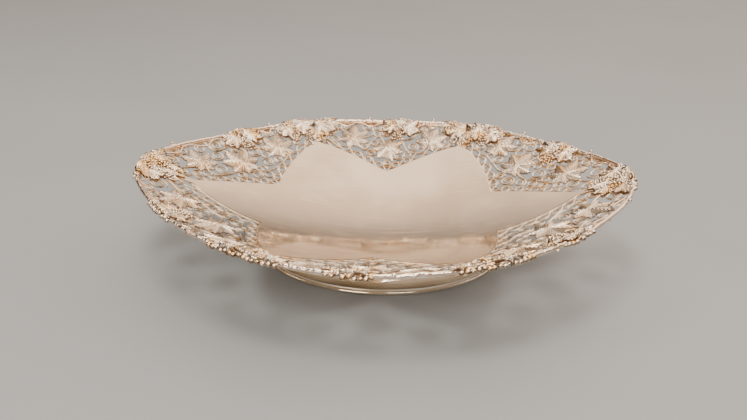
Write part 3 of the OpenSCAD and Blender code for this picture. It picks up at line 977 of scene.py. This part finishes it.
# ---------------------------------------------------------------------------
# The foot: a spreading oval ring raised from sheet silver, with a hollow curve
# between its waist and its foot, soldered under the well.
# ---------------------------------------------------------------------------
FOOT_R = np.array([87, 63]) * MM
WAIST_R = np.array([77, 53]) * MM
CROWN_R = np.array([80, 56]) * MM
WAIST_Z = 15 * MM
BAND_W, BAND_H = 3.2 * MM, 3.0 * MM
FOOT_WALL = 1.2 * MM
FOOT_STEPS = 160


def oval(radii, turns):
    """Plan places round an oval."""
    return np.stack([radii[0] * np.cos(turns), radii[1] * np.sin(turns)], axis=-1)


def wrapped_faces(rings):
    """The faces of a closed run of oval rings, the last joined to the first."""
    return [
        (r * FOOT_STEPS + i, r * FOOT_STEPS + (i + 1) % FOOT_STEPS,
         (r + 1) % rings * FOOT_STEPS + (i + 1) % FOOT_STEPS, (r + 1) % rings * FOOT_STEPS + i)
        for r in range(rings) for i in range(FOOT_STEPS)
    ]


foot_turns = np.linspace(0, 2 * math.pi, FOOT_STEPS, endpoint=False)
crown_top = dish_height(oval(CROWN_R, foot_turns)) - SHEET
outer_profile = [
    (FOOT_R - 1.6 * MM, BAND_H), (FOOT_R - 1.9 * MM, BAND_H + 1.0 * MM),
    (FOOT_R - 3.4 * MM, BAND_H + 1.6 * MM), (WAIST_R + 4.6 * MM, 6.2 * MM),
    (WAIST_R + 2.4 * MM, 8.2 * MM), (WAIST_R + 1.0 * MM, 10.8 * MM),
    (WAIST_R + 0.2 * MM, 13.2 * MM), (WAIST_R, WAIST_Z),
]
foot_rings = [np.c_[oval(radii, foot_turns), np.full(FOOT_STEPS, z)] for radii, z in outer_profile]
for u in np.linspace(0, 1, 7)[1:]:
    bow = WAIST_R + (CROWN_R - WAIST_R) * u ** 1.8
    foot_rings.append(np.c_[oval(bow, foot_turns), WAIST_Z + (crown_top - WAIST_Z) * u])
inner_profile = (
    (CROWN_R, crown_top), (WAIST_R, WAIST_Z), (WAIST_R + 2.4 * MM, 8.2 * MM),
    (FOOT_R - 3.4 * MM, BAND_H + 0.8 * MM), (FOOT_R - 1.6 * MM, BAND_H),
)
for radii, z in inner_profile:
    height = np.broadcast_to(z, FOOT_STEPS)
    foot_rings.append(np.c_[oval(radii - FOOT_WALL, foot_turns), height])
foot = new_piece("foot", np.concatenate(foot_rings), wrapped_faces(len(foot_rings)))
settle(foot, sharp=35)

spun_silver, wire, shader = start_material("spun_silver", Metallic=1.0)
cloud = speckle(wire, 22, (1, 1, 2), 4)
hairlines = speckle(wire, 1.0, (60, 60, 2600), 2)
tone = cloud.between(0.3, 0.7).blend((0.82, 0.68, 0.50, 1), (0.95, 0.86, 0.75, 1))
wire.tree.links.new(tone.socket, shader.inputs["Base Color"])
roughness = 0.05 + 0.08 * hairlines.between(0.45, 0.75) + 0.05 * cloud
wire.tree.links.new(roughness.socket, shader.inputs["Roughness"])
bump = wire.add(
    "ShaderNodeBump", {}, {"Height": hairlines, "Strength": 0.10, "Distance": 0.05 * MM}
)
wire.tree.links.new(bump.socket, shader.inputs["Normal"])
foot.data.materials.append(spun_silver)
place_piece(foot, "foot_silver", "foot_ring")

# ---------------------------------------------------------------------------
# The foot's band: a rounded strip of silver soldered round the foot's edge,
# which the dish stands on.
# ---------------------------------------------------------------------------
BAND_STEPS = 14
band_rings = []
for k in range(BAND_STEPS):
    a = 2 * math.pi * k / BAND_STEPS
    reach = FOOT_R - BAND_W / 2 + math.copysign(abs(math.cos(a)) ** 0.7, math.cos(a)) * BAND_W / 2
    z = BAND_H / 2 + math.copysign(abs(math.sin(a)) ** 0.7, math.sin(a)) * BAND_H / 2
    band_rings.append(np.c_[oval(reach, foot_turns), np.full(FOOT_STEPS, z)])
band = new_piece("foot_band_moulding", np.concatenate(band_rings), wrapped_faces(BAND_STEPS))
settle(band, sharp=35)
band.data.materials.append(spun_silver)
place_piece(band, "foot_silver", "foot_band")
